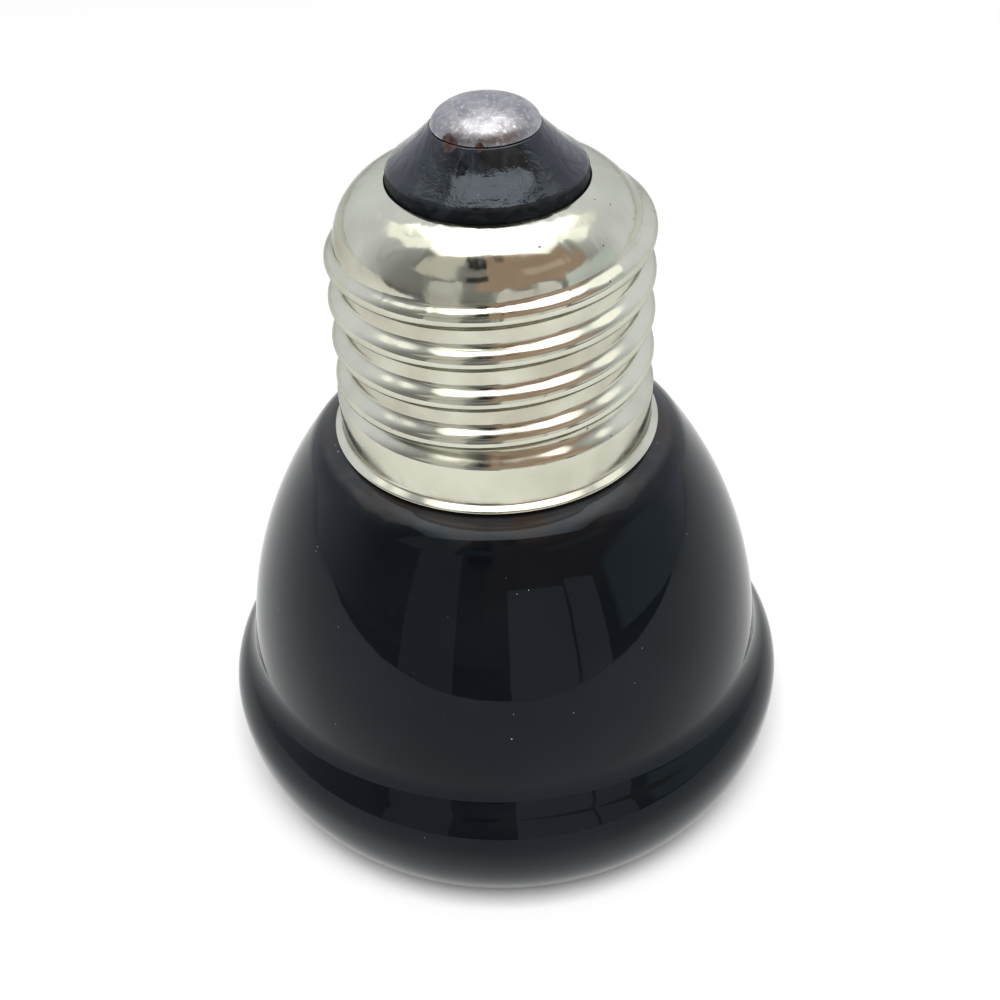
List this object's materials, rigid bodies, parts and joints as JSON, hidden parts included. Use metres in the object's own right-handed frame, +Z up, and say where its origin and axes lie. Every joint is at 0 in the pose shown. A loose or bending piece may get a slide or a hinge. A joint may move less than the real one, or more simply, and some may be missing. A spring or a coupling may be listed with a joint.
{
  "type": "ceramic heat emitter",
  "caption": "Bell-shaped black glazed ceramic heat emitter with a rounded rim and a flat radiating face, on a nickel screw cap with a glass insulator and a soldered contact.",
  "frame": {"origin": "centre of the flat radiating face that it stands on", "axes": "+Z up the axis to the contact of the screw cap, -Y towards the side that the picture shows, +X to the picture's right"},
  "size_m": [0.051, 0.051, 0.0656],
  "materials": {
    "black_glaze": "gloss",
    "nickel_sheet": "polished",
    "black_glass": "gloss",
    "solder": "satin"
  },
  "bodies": {
    "root": {"ceramic_body": "black_glaze", "screw_shell": "nickel_sheet", "insulator": "black_glass", "centre_contact": "solder"}
  },
  "joints": []
}
